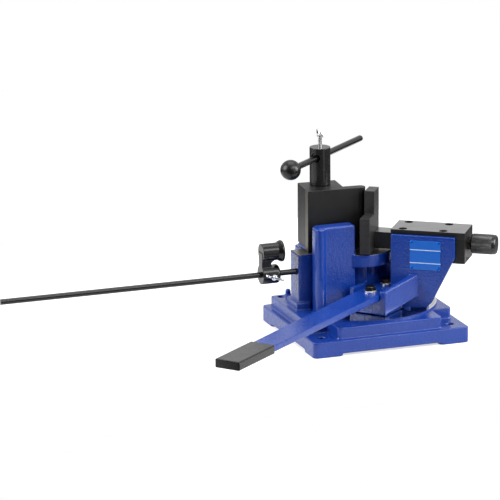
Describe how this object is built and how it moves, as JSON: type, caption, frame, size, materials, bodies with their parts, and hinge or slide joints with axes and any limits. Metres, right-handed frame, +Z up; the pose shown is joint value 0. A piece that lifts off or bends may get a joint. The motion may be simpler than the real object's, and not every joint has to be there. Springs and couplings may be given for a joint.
{
  "type": "universal bending machine",
  "caption": "Bench bending machine: a die with an eccentric clamp on a cast base, a swing arm with lever and an adjustable press jaw, and a sliding length stop on a rod.",
  "frame": {"origin": "centre of the four bench bolt holes, on the plane the feet stand on", "axes": "+X along the stop rod towards the knob side, +Y to the back, +Z up"},
  "size_m": [0.7805, 0.5007, 0.3182],
  "materials": {
    "enamel_blue": "glossy blue enamel over a casting",
    "black_steel": "black-oxide steel, ground on top faces",
    "bright_steel": "bright turned steel",
    "bronze": "turned bearing bronze",
    "zinc": "bright zinc plate",
    "bolt_steel": "yellow passivated steel",
    "rubber": "matt grey rubber",
    "label": "plain blue label plate"
  },
  "bodies": {
    "base": {"base_casting": "enamel_blue", "scale_sector": "bright_steel", "scale_screws": "bright_steel", "pivot_pin": "bright_steel", "pivot_key_screw": "black_steel", "thrust_washer": "bronze", "spindle_bush": "bronze", "stop_rod": "black_steel", "rod_set_screw": "black_steel"},
    "die": {"bending_die": "black_steel", "clamp_block": "black_steel", "block_screws": "black_steel"},
    "spindle": {"clamp_spindle": "black_steel", "spindle_head": "black_steel"},
    "tommy": {"tommy_bar": "black_steel", "ball_knob": "black_steel"},
    "bar_lock": {"bar_lock_screw": "zinc"},
    "arm": {"arm_casting": "enamel_blue", "upper_hub_bush": "bronze", "lower_hub_bush": "bronze", "label_plate": "label", "label_rivets": "bright_steel", "slider_housing": "black_steel", "housing_cover": "black_steel", "housing_screws": "black_steel", "adjuster_bush": "bronze", "lever": "enamel_blue", "lever_grip": "rubber", "lever_bolts": "bolt_steel", "lever_washers": "bright_steel"},
    "slider": {"slider_bar": "black_steel", "press_jaw": "black_steel", "jaw_screws": "black_steel"},
    "knob": {"adjusting_screw": "bright_steel", "adjusting_knob": "black_steel", "knob_grub_screw": "black_steel"},
    "stop": {"stop_bracket": "black_steel"},
    "stop_lock": {"stop_wing_screw": "zinc"}
  },
  "joints": [
    {"name": "arm_swing", "type": "hinge", "parent": "base", "child": "arm", "pos_m": [0, 0.019, 0.08], "axis": [0, 0, 1], "range_deg": [0, 95]},
    {"name": "clamp_turn", "type": "hinge", "parent": "base", "child": "spindle", "pos_m": [-0.053, 0.057, 0.2], "axis": [0, 0, 1], "range_deg": [0, 90]},
    {"name": "die_swing", "type": "hinge", "parent": "base", "child": "die", "pos_m": [0, 0.019, 0.18], "axis": [0, 0, 1], "range_deg": [0, 4.5]},
    {"name": "tommy_slide", "type": "slide", "parent": "spindle", "child": "tommy", "axis": [0.749, 0.6626, 0], "range_m": [-0.1, 0.06]},
    {"name": "bar_lock_turn", "type": "hinge", "parent": "spindle", "child": "bar_lock", "pos_m": [-0.053, 0.057, 0.29], "axis": [0, 0, 1], "range_deg": [-180, 180]},
    {"name": "knob_turn", "type": "hinge", "parent": "arm", "child": "knob", "pos_m": [0.15564, -0.08998, 0.15], "axis": [-0.8192, 0.5736, 0], "range_deg": [0, 4500]},
    {"name": "jaw_slide", "type": "slide", "parent": "arm", "child": "slider", "axis": [0.8192, -0.5736, 0], "range_m": [0, 0.025]},
    {"name": "stop_slide", "type": "slide", "parent": "base", "child": "stop", "axis": [1, 0, 0], "range_m": [-0.4, 0.018]},
    {"name": "stop_lock_turn", "type": "hinge", "parent": "stop", "child": "stop_lock", "pos_m": [-0.1525, 0.005, 0.1035], "axis": [0, -1, 0], "range_deg": [-180, 180]}
  ],
  "couplings": [
    {"joint": "die_swing", "follows": "clamp_turn", "ratio": 0.05},
    {"joint": "knob_turn", "follows": "jaw_slide", "rad_per_m": 3141.6}
  ]
}
